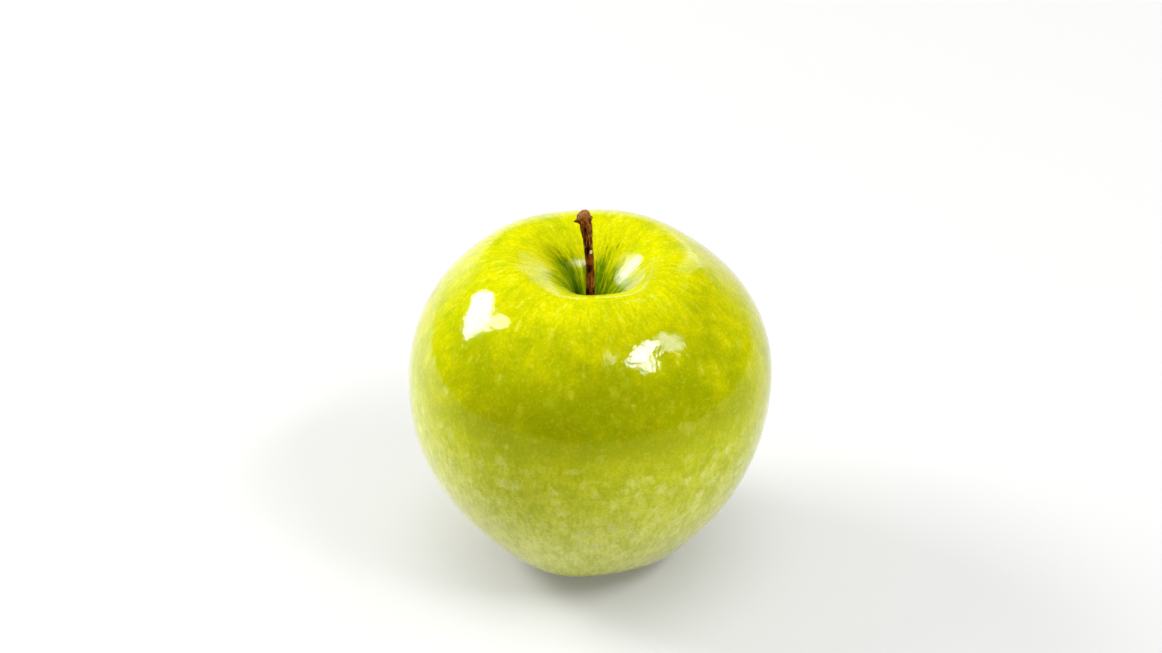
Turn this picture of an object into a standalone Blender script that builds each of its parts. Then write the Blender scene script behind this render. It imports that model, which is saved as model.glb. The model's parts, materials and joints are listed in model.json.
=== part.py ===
"""A fresh green apple standing on its calyx end, with its stem and its withered flower parts.

Run with: blender --background --python part.py, or from Blender's text editor.
Metres, +Z up. The origin is on the resting plane, under the middle of the apple's footprint.
-Y is the front. Angles run anticlockwise from +X, seen from above.
"""

import math

import bmesh
import bpy
from mathutils import Matrix, Vector

MM = 0.001

# The fruit, as (radius, height) in millimetres down one side: the stem cavity, the shoulder,
# the widest ring, the tapering flank, the crown that it stands on, and the calyx basin.
FRUIT_PROFILE = [
    (1.4, 55.4),
    (2.3, 57.8),
    (3.9, 61.1),
    (6.2, 64.7),
    (9.8, 68.1),
    (13.4, 70.0),
    (17.2, 70.8),
    (23.5, 68.8),
    (31.5, 61.3),
    (36.2, 53.0),
    (38.0, 43.5),
    (37.0, 31.7),
    (32.7, 20.0),
    (24.8, 8.6),
    (18.2, 2.4),
    (11.6, 0.0),
    (6.6, 3.6),
    (3.8, 7.4),
    (1.9, 9.2),
    (1.5, 10.8),
]
STEPS_PER_SPAN = 3
TURN_STEPS = 64

# The stem's socket in the flesh, and the closed top of the eye at the calyx.
SOCKET_RADIUS = 1.3
SOCKET_DEPTH = 3.0
EYE_TOP = 11.6

# Five seed chambers give five lobes, strongest round the crown and faint at the shoulder.
LOBES = 5
LOBE_PITCH = 360 / LOBES
CROWN_LOBE_ANGLE = 250.0
SHOULDER_LOBE_ANGLE = 280.0
CROWN_LOBE_SWELL = 0.010
SHOULDER_LOBE_SWELL = 0.004
CROWN_VALLEY_LIFT = 2.0
SHOULDER_VALLEY_DROP = 0.7
CROWN_BAND = (11.6, 8.0)
SHOULDER_BAND = (17.2, 9.0)
# How much higher each lobe of the crown ends than the lowest one.
CROWN_LOBE_RISE = [0.0, 0.10, 0.0, 0.15, 0.05]

# The hollow round the stem grew a little to one side of it, as (x, y).
HOLLOW_SHIFT = (1.8, -0.5)
HOLLOW_BAND = (7.5, 4.5)

# One cheek grew a little fuller and lower than the other.
FULL_CHEEK_ANGLE = 0.0
FULL_CHEEK_SWELL = 0.022
FULL_CHEEK_DROP = 0.018
AXIS_LEAN = -0.004

# The lobes that carry the weight are flat where they stand.
RESTING_FLAT_DEPTH = 0.4

# The stem's line as (x, y, z, radius): from its socket to the knob where it left the spur.
STEM_LINE = [
    (-0.2, 0.0, 52.8, 0.95),
    (-0.2, 0.0, 56.4, 0.95),
    (-0.1, 0.1, 61.0, 0.92),
    (-0.2, 0.3, 66.0, 0.90),
    (-0.5, 0.5, 70.5, 0.92),
    (-0.8, 0.6, 74.0, 1.02),
    (-1.1, 0.7, 76.8, 1.28),
    (-1.4, 0.8, 78.9, 1.62),
    (-1.6, 0.8, 80.4, 1.55),
    (-1.6, 0.8, 81.2, 0.85),
]
STEM_BEVEL_RESOLUTION = 4

# A withered sepal, as (distance from the axis, height, half width) from root to curled tip.
SEPAL_LINE = [
    (3.3, 6.8, 1.60),
    (3.0, 5.8, 1.65),
    (2.7, 4.8, 1.45),
    (2.9, 3.9, 1.10),
    (3.8, 3.2, 0.70),
    (5.0, 2.9, 0.25),
]
SEPAL_THICKNESS = 0.35
SEPAL_CUP = 0.25
SEPAL_COUNT = 5
SEPAL_ACROSS = 4

# The withered stamens: thin threads on a small cushion inside the eye.
STAMEN_COUNT = 6
STAMEN_LENGTH = 4.6
STAMEN_ROOT_RADIUS = 0.22
STAMEN_TIP_RADIUS = 0.12
STAMEN_RING_RADIUS = 0.55
STAMEN_SPLAY = 5.0
CUSHION_RADIUS = 0.95
CUSHION_HEIGHT = 0.5
CUSHION_TOP = 11.0

SMOOTH_ANGLE = 40.0
MERGE_DISTANCE = 0.00001


def clear_scene():
    for obj in list(bpy.data.objects):
        bpy.data.objects.remove(obj, do_unlink=True)


def new_collection(name):
    collection = bpy.data.collections.new(name)
    bpy.context.scene.collection.children.link(collection)
    return collection


def new_material(name, colour, roughness):
    material = bpy.data.materials.new(name)
    material.use_nodes = True
    shader = material.node_tree.nodes["Principled BSDF"]
    shader.inputs["Base Color"].default_value = (*colour, 1.0)
    shader.inputs["Roughness"].default_value = roughness
    shader.inputs["Metallic"].default_value = 0.0
    return material


def new_piece(name, mesh, material, collection, parent):
    """A named object for one piece of the apple, shaded smooth, riding on the apple's empty."""
    piece = bpy.data.objects.new(name, mesh)
    collection.objects.link(piece)
    piece.data.materials.append(material)
    piece.data.shade_smooth()
    piece.data.set_sharp_from_angle(angle=math.radians(SMOOTH_ANGLE))
    piece.parent = parent
    return piece


def baked_mesh(obj):
    """The object's mesh with its modifiers in it. The object itself is removed."""
    graph = bpy.context.evaluated_depsgraph_get()
    mesh = bpy.data.meshes.new_from_object(obj.evaluated_get(graph))
    bpy.data.objects.remove(obj, do_unlink=True)
    return mesh


def smoothstep(value):
    t = min(max(value, 0.0), 1.0)
    return t * t * (3 - 2 * t)


def catmull_rom(points, steps):
    """A smooth line through all the points, whatever their number of coordinates."""
    first = [2 * a - b for a, b in zip(points[0], points[1])]
    last = [2 * a - b for a, b in zip(points[-1], points[-2])]
    padded = [first, *points, last]
    line = []
    for a, b, c, d in zip(padded, padded[1:], padded[2:], padded[3:]):
        for step in range(steps):
            t = step / steps
            weights = (
                (-t + 2 * t**2 - t**3) / 2,
                (2 - 5 * t**2 + 3 * t**3) / 2,
                (t + 4 * t**2 - 3 * t**3) / 2,
                (t**3 - t**2) / 2,
            )
            line.append([sum(w * p[k] for w, p in zip(weights, (a, b, c, d))) for k in range(len(b))])
    line.append(list(points[-1]))
    return line


# --- The fruit -----------------------------------------------------------------------------


def lobe_wave(angle, lobe_angle):
    """1 on the crest of each lobe and -1 in the valleys between."""
    return math.cos(LOBES * (angle - math.radians(lobe_angle)))


def crown_rise(angle):
    """How far the nearest lobe's end stands above the lowest, blended from lobe to lobe."""
    place = (math.degrees(angle) - CROWN_LOBE_ANGLE) / LOBE_PITCH
    lobe = math.floor(place)
    share = smoothstep(place - lobe)
    here = CROWN_LOBE_RISE[lobe % LOBES]
    following = CROWN_LOBE_RISE[(lobe + 1) % LOBES]
    return here + (following - here) * share


def band(radius, middle, width):
    return math.exp(-(((radius - middle) / width) ** 2))


def grown(point):
    """Where a point of the turned fruit lies on the real one, with its lobes and full cheek."""
    x, y, z = (c / MM for c in point)
    radius = math.hypot(x, y)
    angle = math.atan2(y, x)
    crown = lobe_wave(angle, CROWN_LOBE_ANGLE)
    shoulder = lobe_wave(angle, SHOULDER_LOBE_ANGLE)
    cheek = math.cos(angle - math.radians(FULL_CHEEK_ANGLE))
    low = smoothstep(1 - z / 45)
    high = smoothstep((z - 25) / 45)
    swell = low * CROWN_LOBE_SWELL * crown
    swell += high * (SHOULDER_LOBE_SWELL * shoulder + FULL_CHEEK_SWELL * cheek)
    grown_radius = radius * (1 + swell)
    near_crown = band(radius, *CROWN_BAND) * smoothstep(1 - z / 16)
    near_shoulder = band(radius, *SHOULDER_BAND) * smoothstep((z - 56) / 12)
    height = z
    height += near_crown * (CROWN_VALLEY_LIFT * (1 - crown) / 2 + crown_rise(angle))
    height -= near_shoulder * SHOULDER_VALLEY_DROP * (1 - shoulder) / 2
    height -= FULL_CHEEK_DROP * grown_radius * cheek * smoothstep((z - 30) / 40)
    in_hollow = band(radius, *HOLLOW_BAND) * smoothstep((z - 56.5) / 5)
    return Vector(
        (
            grown_radius * math.cos(angle) + AXIS_LEAN * z + HOLLOW_SHIFT[0] * in_hollow,
            grown_radius * math.sin(angle) + HOLLOW_SHIFT[1] * in_hollow,
            height,
        )
    ) * MM


def fruit_outline():
    """The fruit's profile from the stem socket's floor, down the outside, to the eye's top."""
    lip_radius, lip_height = FRUIT_PROFILE[0]
    floor = lip_height - SOCKET_DEPTH
    socket = [(0.0, floor), (SOCKET_RADIUS, floor), (SOCKET_RADIUS, lip_height - 0.4)]
    return socket + catmull_rom(FRUIT_PROFILE, STEPS_PER_SPAN) + [(0.0, EYE_TOP)]


def turned(outline):
    """The outline turned about the vertical axis into a closed mesh."""
    mesh = bpy.data.meshes.new("outline")
    points = [(radius * MM, 0.0, height * MM) for radius, height in outline]
    edges = [(i, i + 1) for i in range(len(points) - 1)]
    mesh.from_pydata(points, edges, [])
    turning = bpy.data.objects.new("outline", mesh)
    bpy.context.scene.collection.objects.link(turning)
    screw = turning.modifiers.new("turn", "SCREW")
    screw.axis = "Z"
    screw.steps = TURN_STEPS
    screw.render_steps = TURN_STEPS
    screw.use_merge_vertices = True
    screw.merge_threshold = MERGE_DISTANCE
    return baked_mesh(turning)


def flatten_feet(shape):
    """Cuts the lowest part of the crown's lobes off level, and returns the height of the cut."""
    level = min(v.co.z for v in shape.verts) + RESTING_FLAT_DEPTH * MM
    cut = bmesh.ops.bisect_plane(
        shape,
        geom=shape.verts[:] + shape.edges[:] + shape.faces[:],
        plane_co=(0, 0, level),
        plane_no=(0, 0, -1),
        clear_outer=True,
    )
    rims = [e for e in cut["geom_cut"] if isinstance(e, bmesh.types.BMEdge)]
    bmesh.ops.edgeloop_fill(shape, edges=rims)
    bmesh.ops.recalc_face_normals(shape, faces=shape.faces[:])
    return level


def make_fruit(material, collection, parent):
    mesh = turned(fruit_outline())
    shape = bmesh.new()
    shape.from_mesh(mesh)
    for vertex in shape.verts:
        vertex.co = grown(vertex.co)
    level = flatten_feet(shape)
    shape.to_mesh(mesh)
    shape.free()
    return new_piece("fruit", mesh, material, collection, parent), level


# --- The stem ------------------------------------------------------------------------------


def make_stem(material, collection, parent):
    curve = bpy.data.curves.new("stem", "CURVE")
    curve.dimensions = "3D"
    curve.bevel_depth = MM
    curve.bevel_resolution = STEM_BEVEL_RESOLUTION
    curve.use_fill_caps = True
    line = catmull_rom(STEM_LINE, STEPS_PER_SPAN)
    spline = curve.splines.new("POLY")
    spline.points.add(len(line) - 1)
    for point, (x, y, z, radius) in zip(spline.points, line):
        point.co = (x * MM, y * MM, z * MM, 1.0)
        point.radius = radius
    stem = bpy.data.objects.new("stem", curve)
    collection.objects.link(stem)
    curve.materials.append(material)
    stem.parent = parent
    return stem


# --- The calyx -----------------------------------------------------------------------------


def sepal_mesh():
    """A cupped blade whose width tapers from root to tip, pointing down from the fruit."""
    line = catmull_rom(SEPAL_LINE, STEPS_PER_SPAN)
    shape = bmesh.new()
    bmesh.ops.create_grid(shape, x_segments=len(line) - 1, y_segments=SEPAL_ACROSS, size=0.5)
    for vertex in shape.verts:
        station = round((vertex.co.x + 0.5) * (len(line) - 1))
        out, height, half_width = line[station]
        across = vertex.co.y * 2
        cup = SEPAL_CUP * (1 - across**2) * smoothstep(half_width)
        vertex.co = Vector((out + cup, across * half_width, height)) * MM
    bmesh.ops.recalc_face_normals(shape, faces=shape.faces[:])
    mesh = bpy.data.meshes.new("sepal")
    shape.to_mesh(mesh)
    shape.free()
    return mesh


def make_sepals(material, collection, parent):
    blade = sepal_mesh()
    for number in range(SEPAL_COUNT):
        angle = math.radians(CROWN_LOBE_ANGLE + number * 360 / SEPAL_COUNT)
        mesh = blade.copy()
        mesh.transform(Matrix.Rotation(angle, 4, "Z"))
        sepal = new_piece(f"sepal_{number + 1}", mesh, material, collection, parent)
        thick = sepal.modifiers.new("thickness", "SOLIDIFY")
        thick.thickness = SEPAL_THICKNESS * MM
        thick.offset = 0.0


def make_stamens(material, collection, threads, parent):
    cushion = bmesh.new()
    bmesh.ops.create_cone(
        cushion,
        cap_ends=True,
        segments=16,
        radius1=CUSHION_RADIUS * MM,
        radius2=CUSHION_RADIUS * MM,
        depth=CUSHION_HEIGHT * MM,
        matrix=Matrix.Translation((0, 0, (CUSHION_TOP - CUSHION_HEIGHT / 2) * MM)),
    )
    mesh = bpy.data.meshes.new("withered_stamens")
    cushion.to_mesh(mesh)
    cushion.free()
    tuft = new_piece("withered_stamens", mesh, material, collection, parent)
    root = CUSHION_TOP - CUSHION_HEIGHT / 2
    for number in range(STAMEN_COUNT):
        shape = bmesh.new()
        hang = Matrix.Translation((0, 0, -STAMEN_LENGTH / 2 * MM))
        splay = Matrix.Rotation(math.radians(-STAMEN_SPLAY), 4, "Y")
        place = Matrix.Translation((STAMEN_RING_RADIUS * MM, 0, root * MM))
        turn = Matrix.Rotation(number * 2 * math.pi / STAMEN_COUNT, 4, "Z")
        bmesh.ops.create_cone(
            shape,
            cap_ends=True,
            segments=8,
            radius1=STAMEN_TIP_RADIUS * MM,
            radius2=STAMEN_ROOT_RADIUS * MM,
            depth=STAMEN_LENGTH * MM,
            matrix=turn @ place @ splay @ hang,
        )
        mesh = bpy.data.meshes.new(f"stamen_{number + 1}")
        shape.to_mesh(mesh)
        shape.free()
        thread = new_piece(f"stamen_{number + 1}", mesh, material, threads, parent)
        thread.hide_render = True
        thread.display_type = "WIRE"
        join = tuft.modifiers.new(f"join_{number + 1}", "BOOLEAN")
        join.operation = "UNION"
        join.object = thread


# --- The apple -----------------------------------------------------------------------------


def footprint_middle(pieces):
    """The middle of the pieces' common box, seen from above."""
    graph = bpy.context.evaluated_depsgraph_get()
    corners = []
    for piece in pieces:
        evaluated = piece.evaluated_get(graph)
        mesh = evaluated.to_mesh()
        corners += [evaluated.matrix_world @ v.co for v in mesh.vertices]
        evaluated.to_mesh_clear()
    xs = [c.x for c in corners]
    ys = [c.y for c in corners]
    return (min(xs) + max(xs)) / 2, (min(ys) + max(ys)) / 2


def main():
    clear_scene()
    apple = new_collection("apple")
    joined_threads = new_collection("joined_threads")
    joined_threads.hide_render = True
    skin = new_material("green_skin", (0.44, 0.50, 0.01), 0.25)
    bark = new_material("brown_stem", (0.16, 0.055, 0.02), 0.7)
    withered = new_material("withered_calyx", (0.12, 0.085, 0.04), 0.85)
    root = bpy.data.objects.new("apple_root", None)
    apple.objects.link(root)
    fruit, level = make_fruit(skin, apple, root)
    stem = make_stem(bark, apple, root)
    make_sepals(withered, apple, root)
    make_stamens(withered, apple, joined_threads, root)
    middle_x, middle_y = footprint_middle([fruit, stem])
    root.location = (-middle_x, -middle_y, -level)


main()
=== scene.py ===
# %% [markdown]
# # A green apple on a white table
#
# The apple stands on its calyx end, with its stem up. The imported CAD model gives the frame: its
# nodes say where each piece is and how big it is. Every piece that shows is then modelled again
# with a finer shape, and given a finish of its own. All lengths are metres, most of them written
# as millimetres times MM.

import json
import math
import random

import bpy
import numpy as np
from mathutils import Matrix, Quaternion, Vector, noise

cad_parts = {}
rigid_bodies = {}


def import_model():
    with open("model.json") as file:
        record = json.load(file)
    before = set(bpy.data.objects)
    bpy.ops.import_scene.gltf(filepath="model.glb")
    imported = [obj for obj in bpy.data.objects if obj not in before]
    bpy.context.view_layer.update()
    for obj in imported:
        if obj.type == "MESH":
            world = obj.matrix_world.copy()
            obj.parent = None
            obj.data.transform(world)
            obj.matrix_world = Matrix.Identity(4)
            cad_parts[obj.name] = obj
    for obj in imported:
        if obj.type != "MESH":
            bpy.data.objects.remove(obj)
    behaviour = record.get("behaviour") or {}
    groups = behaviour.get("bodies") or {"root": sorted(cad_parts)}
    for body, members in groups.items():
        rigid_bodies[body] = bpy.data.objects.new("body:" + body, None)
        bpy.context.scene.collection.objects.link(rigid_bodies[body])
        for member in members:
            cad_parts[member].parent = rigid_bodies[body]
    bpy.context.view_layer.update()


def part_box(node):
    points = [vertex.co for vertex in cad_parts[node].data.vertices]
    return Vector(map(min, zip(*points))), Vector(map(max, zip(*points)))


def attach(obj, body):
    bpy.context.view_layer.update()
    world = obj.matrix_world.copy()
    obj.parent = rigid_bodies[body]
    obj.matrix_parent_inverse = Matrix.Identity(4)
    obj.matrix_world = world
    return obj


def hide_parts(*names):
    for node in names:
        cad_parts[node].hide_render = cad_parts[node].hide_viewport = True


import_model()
MM = 0.001

# %% [markdown]
# ## Camera
#
# A long lens from 0.6 m away, looking down at 34 degrees, shows the shoulder, the stem cavity
# and the front flank together, with little perspective. The apple sits a little right of the
# frame's middle and below it, so the camera is turned by small angles and not shifted.

# %% Camera
APPLE_MIDDLE = Vector((-0.12, 0.03, 35.6)) * MM
CAMERA_ELEVATION = math.radians(34.0)
CAMERA_DISTANCE = 0.600
LENS_MM = 88.42
TILT_UP = math.radians(1.439)
TURN_LEFT = math.radians(0.205)

lens = bpy.data.cameras.new("camera")
lens.lens = LENS_MM
lens.sensor_width = 36.0
camera = bpy.data.objects.new("camera", lens)
bpy.context.scene.collection.objects.link(camera)
camera.location = APPLE_MIDDLE + CAMERA_DISTANCE * Vector(
    (0, -math.cos(CAMERA_ELEVATION), math.sin(CAMERA_ELEVATION))
)
camera.rotation_euler = (math.pi / 2 - CAMERA_ELEVATION + TILT_UP, 0, TURN_LEFT)
bpy.context.scene.camera = camera
print("camera at", [round(c, 3) for c in camera.location])

# %% [markdown]
# ## Light
#
# Two soft boxes make the look. The stronger one stands low behind the left shoulder, and the
# other high in front on the right. Each leaves one bright window on the waxed skin and one soft
# shadow on the table. A real lamp is seldom one clean square: its cloth sags and its frame
# shows, so each window is made of a main piece and one or two smaller ones beside it. A tall
# dim strip behind on the right stands for a doorway.

# %% Soft boxes
def soft_box(name, azimuth, elevation, size, watts, distance=1.2, shape="RECTANGLE", roll=0.0):
    """A soft lamp that faces the apple. Azimuth 0 is on the right and 90 behind, in degrees."""
    lamp = bpy.data.lights.new(name, "AREA")
    lamp.shape = shape
    lamp.size, lamp.size_y = size
    lamp.energy = watts
    box = bpy.data.objects.new(name, lamp)
    bpy.context.scene.collection.objects.link(box)
    turn, rise = math.radians(azimuth), math.radians(elevation)
    toward = Vector((math.cos(turn) * math.cos(rise), math.sin(turn) * math.cos(rise), math.sin(rise)))
    box.location = APPLE_MIDDLE + toward * distance
    facing = toward.to_track_quat("Z", "Y") @ Quaternion((0, 0, 1), math.radians(roll))
    box.rotation_euler = facing.to_euler()
    box.visible_camera = False
    return box


lamps = [
    soft_box("back_left_main", 157, 32, (0.56, 0.40), 16.8),
    soft_box("back_left_lobe", 175, 46, (0.15, 0.27), 1.5, shape="ELLIPSE"),
    soft_box("front_right_main", -33, 52, (0.56, 0.16), 6.6, shape="ELLIPSE"),
    soft_box("front_right_wedge", -36, 45, (0.18, 0.18), 2.4, roll=45),
    soft_box("front_right_lobe", -6, 45, (0.22, 0.30), 1.5, shape="ELLIPSE"),
    soft_box("front_right_edge", -70, 56, (0.13, 0.20), 0.35, shape="ELLIPSE"),
    soft_box("back_strip", 69, 24, (0.32, 0.75), 0.9, distance=1.3),
]
for lamp in lamps:
    print(f"{lamp.name}: {lamp.data.energy} W at", [round(c, 2) for c in lamp.location])

# %% [markdown]
# ## Helpers for finishes
#
# A finish is a chain of small steps: a pattern, a change of its range, and a mix of two colours
# by it. Dragging out dozens of nodes by hand is slow to read back, so each small step is a
# function that adds its node and gives back the node's output.

# %% Helpers for nodes
def add_node(tree, kind, values, **settings):
    """A new node. values holds a number, colour or another node's output for each input."""
    node = tree.nodes.new("ShaderNode" + kind)
    for setting, value in settings.items():
        setattr(node, setting, value)
    for name, value in values.items():
        if isinstance(value, bpy.types.NodeSocket):
            tree.links.new(value, node.inputs[name])
        else:
            node.inputs[name].default_value = value
    return node


def maths(tree, operation, *values):
    """One step of arithmetic on numbers or patterns."""
    return add_node(tree, "Math", dict(enumerate(values)), operation=operation).outputs[0]


def remap(tree, value, low, high, to_low=0.0, to_high=1.0):
    """value moved from the range low..high to another, with soft ends."""
    values = {"Value": value, "From Min": low, "From Max": high, "To Min": to_low, "To Max": to_high}
    return add_node(tree, "MapRange", values, interpolation_type="SMOOTHSTEP").outputs["Result"]


def added(tree, start, *terms):
    """start plus each pattern times its weight."""
    for pattern, weight in terms:
        start = maths(tree, "MULTIPLY_ADD", pattern, weight, start)
    return start


def centred(tree, pattern):
    """A pattern that runs from 0 to 1, moved so that its middle is 0."""
    return maths(tree, "SUBTRACT", pattern, 0.5)


def mixed(tree, share, first, second):
    """first turned into second by share, which may be a pattern."""
    colours = [c if isinstance(c, bpy.types.NodeSocket) else (*c, 1.0) for c in (first, second)]
    values = {0: share, 6: colours[0], 7: colours[1]}
    return add_node(tree, "Mix", values, data_type="RGBA").outputs[2]


node_steps = (add_node, maths, remap, added, centred, mixed)
print("helpers for nodes:", [step.__name__ for step in node_steps])

# %% [markdown]
# ## Room
#
# The rest of the room is dark, so the upper skin keeps its full colour. Only low behind the
# apple, where the white sheet would curve up, there is a pale glow, which the far rim of the
# apple mirrors at a slant. What the camera sees past the table is plain white. A picture of a
# real studio could light the scene as well, but its colours and odd shapes would show in wax.

# %% Room
ROOM_DIM = 0.07
BACK_GLOW = 1.15
BACK_GLOW_SIDES = (0.45, 0.95)
BACK_GLOW_HEIGHTS = (0.36, 0.08)

room = bpy.data.worlds.new("studio")
bpy.context.scene.world = room
room.use_nodes = True
tree = room.node_tree
tree.nodes.clear()
toward = add_node(tree, "TexCoord", {}).outputs["Generated"]
toward = add_node(tree, "SeparateXYZ", {0: toward}).outputs
behind = remap(tree, toward["Y"], *BACK_GLOW_SIDES)
low = remap(tree, toward["Z"], *BACK_GLOW_HEIGHTS, 0.0, BACK_GLOW)
strength = maths(tree, "MULTIPLY_ADD", behind, low, ROOM_DIM)
lighting = add_node(tree, "Background", {"Strength": strength}).outputs[0]
seen = add_node(tree, "Background", {"Color": (1, 1, 1, 1)}).outputs[0]
to_camera = add_node(tree, "LightPath", {}).outputs["Is Camera Ray"]
either = add_node(tree, "MixShader", {"Fac": to_camera, 1: lighting, 2: seen}).outputs[0]
add_node(tree, "OutputWorld", {"Surface": either})
print("room: dim", ROOM_DIM, "with a glow of", BACK_GLOW, "low behind")

# %% [markdown]
# Light that bounces about a white room leaves every dark place a little milky. A small bend at
# the foot of the tone curve darkens only the darkest greens and browns, and leaves all the rest
# as it is.

# %% Tone
TONE_TOE = [(0.05, 0.015), (0.18, 0.16), (0.35, 0.35)]
ALL_CHANNELS = 3
view = bpy.context.scene.view_settings
view.view_transform = "Standard"
view.look = "None"
view.use_curve_mapping = True
for point in TONE_TOE:
    view.curve_mapping.curves[ALL_CHANNELS].points.new(*point)
view.curve_mapping.update()
print("tone curve:", len(view.curve_mapping.curves[ALL_CHANNELS].points), "points")

# %% [markdown]
# ## Helpers for modelling
#
# Operators act on whatever is selected, so each piece starts from an empty selection. Points are
# then picked in code by where they are, which is what a hand would do with a box select.

# %% Helpers for modelling
def deselect_all():
    if bpy.context.mode != "OBJECT":
        bpy.ops.object.mode_set(mode="OBJECT")
    bpy.ops.object.select_all(action="DESELECT")


def size_in_mm(piece):
    corners = np.array([piece.matrix_world @ v.co for v in piece.data.vertices]) / MM
    return [round(float(c), 1) for c in corners.max(0) - corners.min(0)]


def finish_modifiers(piece):
    """Applies all of a piece's modifiers, in their order."""
    bpy.context.view_layer.objects.active = piece
    for modifier in list(piece.modifiers):
        bpy.ops.object.modifier_apply(modifier=modifier.name)


def smooth_line(points, steps):
    """A smooth line through all the points, whatever their number of coordinates."""
    first = [2 * a - b for a, b in zip(points[0], points[1])]
    last = [2 * a - b for a, b in zip(points[-1], points[-2])]
    padded = np.array([first, *points, last], float)
    line = []
    for a, b, c, d in zip(padded, padded[1:], padded[2:], padded[3:]):
        for t in np.arange(steps) / steps:
            line.append((2 * b + (c - a) * t + (2 * a - 5 * b + 4 * c - d) * t**2
                         + (3 * b - a - 3 * c + d) * t**3) / 2)
    return [*line, padded[-2]]


def smoothstep(value):
    """value held between 0 and 1, and eased at both ends."""
    t = min(max(value, 0.0), 1.0)
    return t * t * (3 - 2 * t)


print("helpers for modelling:", [step.__name__ for step in (deselect_all, finish_modifiers, smooth_line)])

# %% [markdown]
# ## Table
#
# The apple stands on a wide white sheet. Part of the sheet's brightness is a painted glow of its
# own, which stands for all the light that a white room would throw back. Near the apple the glow
# is turned down, a painted contact shadow where the apple would hide that room. A large lamp
# overhead fills the shadows. Wax would mirror such a lamp as a grey patch on the shoulder, so it
# is kept out of reflections.

# %% Table
TABLE_HALF_WIDTH = 0.46
TABLE_FRONT, TABLE_BACK = -0.46, 0.60
TABLE_WHITE = (0.36, 0.36, 0.355, 1)
TABLE_ROUGHNESS = 0.6
TABLE_PAINTED_GLOW = 0.42
GLOW_LEFT_IN_PAINTED_SHADE = 0.40
GLOW_NEAR, GLOW_FAR = 0.010, 0.048

deselect_all()
bpy.ops.mesh.primitive_plane_add(size=1.0, location=(0, 0, 0))
table = bpy.context.object
table.name = "table"
for vertex in table.data.vertices:
    vertex.co.x *= 2 * TABLE_HALF_WIDTH
    vertex.co.y = TABLE_FRONT if vertex.co.y < 0 else TABLE_BACK
paper = bpy.data.materials.new("white_table")
paper.use_nodes = True
tree = paper.node_tree
surface = tree.nodes["Principled BSDF"].inputs
surface["Base Color"].default_value = TABLE_WHITE
surface["Roughness"].default_value = TABLE_ROUGHNESS
surface["Emission Strength"].default_value = TABLE_PAINTED_GLOW
spot = add_node(tree, "TexCoord", {}).outputs["Object"]
# The glow rises from a painted contact shadow under the apple to full strength further out.
from_apple = add_node(tree, "VectorMath", {0: spot}, operation="LENGTH").outputs["Value"]
tree.links.new(remap(tree, from_apple, GLOW_NEAR, GLOW_FAR, GLOW_LEFT_IN_PAINTED_SHADE), surface["Emission Color"])
table.data.materials.append(paper)
print("table:", [round(c, 2) for c in table.dimensions], "m")

# %% Lamp overhead
CEILING_WATTS = 5.8
ceiling_fill = soft_box("ceiling_fill", 90, 88, (1.2, 1.2), CEILING_WATTS, distance=1.0)
ceiling_fill.visible_glossy = False
print("overhead:", CEILING_WATTS, "W at", round(ceiling_fill.location.z, 2), "m")

# %% [markdown]
# ## The fruit
#
# An apple is nearly a turned form: one profile, from the bottom of the stem cavity over the
# shoulder and the flank to the crown and the calyx basin, going round the stem's axis. It could
# be sculpted from a ball, but a sphere has no cavity, so the profile is drawn point by point
# and spun. What makes it grow true comes after: five lobes for the five seed chambers, and one
# cheek that is fuller and hangs lower than the other.

# %% The profile
FRUIT_PROFILE = [
    (1.4, 55.4),
    (2.3, 57.8),
    (3.9, 61.1),
    (6.2, 64.7),
    (9.8, 68.1),
    (13.4, 70.0),
    (17.2, 70.8),
    (23.5, 68.8),
    (31.5, 61.3),
    (36.2, 53.0),
    (38.0, 43.5),
    (37.0, 31.7),
    (32.7, 20.0),
    (24.8, 8.6),
    (18.2, 2.4),
    (11.6, 0.0),
    (6.6, 3.6),
    (3.8, 7.4),
    (1.9, 9.2),
    (1.5, 10.8),
]
STEPS_PER_SPAN = 3
SPIN_STEPS = 150
STEM_HOLE = [(0.0, 53.4), (0.7, 53.5), (1.05, 54.2)]
EYE_TOP = [(0.9, 11.4), (0.0, 11.6)]

profile = [*STEM_HOLE, *smooth_line(FRUIT_PROFILE, STEPS_PER_SPAN), *EYE_TOP]
profile = [Vector((radius, 0, height)) * MM for radius, height in profile]

deselect_all()
bpy.ops.mesh.primitive_plane_add(size=MM, location=(0, 0, 0))
fruit = bpy.context.object
fruit.name = "apple_fruit"
bpy.ops.object.mode_set(mode="EDIT")
bpy.ops.mesh.select_all(action="SELECT")
bpy.ops.mesh.merge(type="CENTER")
bpy.ops.transform.translate(value=profile[0])
for here, following in zip(profile, profile[1:]):
    bpy.ops.mesh.extrude_vertices_move(TRANSFORM_OT_translate={"value": following - here})
bpy.ops.mesh.select_all(action="SELECT")
bpy.ops.mesh.spin(steps=SPIN_STEPS, angle=math.tau, center=(0, 0, 0), axis=(0, 0, 1))
bpy.ops.mesh.select_all(action="SELECT")
bpy.ops.mesh.remove_doubles(threshold=0.00001)
bpy.ops.mesh.normals_make_consistent(inside=False)
bpy.ops.object.mode_set(mode="OBJECT")
print("spun fruit:", len(fruit.data.polygons), "faces,", size_in_mm(fruit), "mm")

# %% [markdown]
# Five lobes stand out round the crown and, much fainter, at the shoulder. Between them the crown
# rises into five valleys, which is why an apple stands on five points. The wave is strongest in
# a band round the crown and dies away up the flank.

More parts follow.
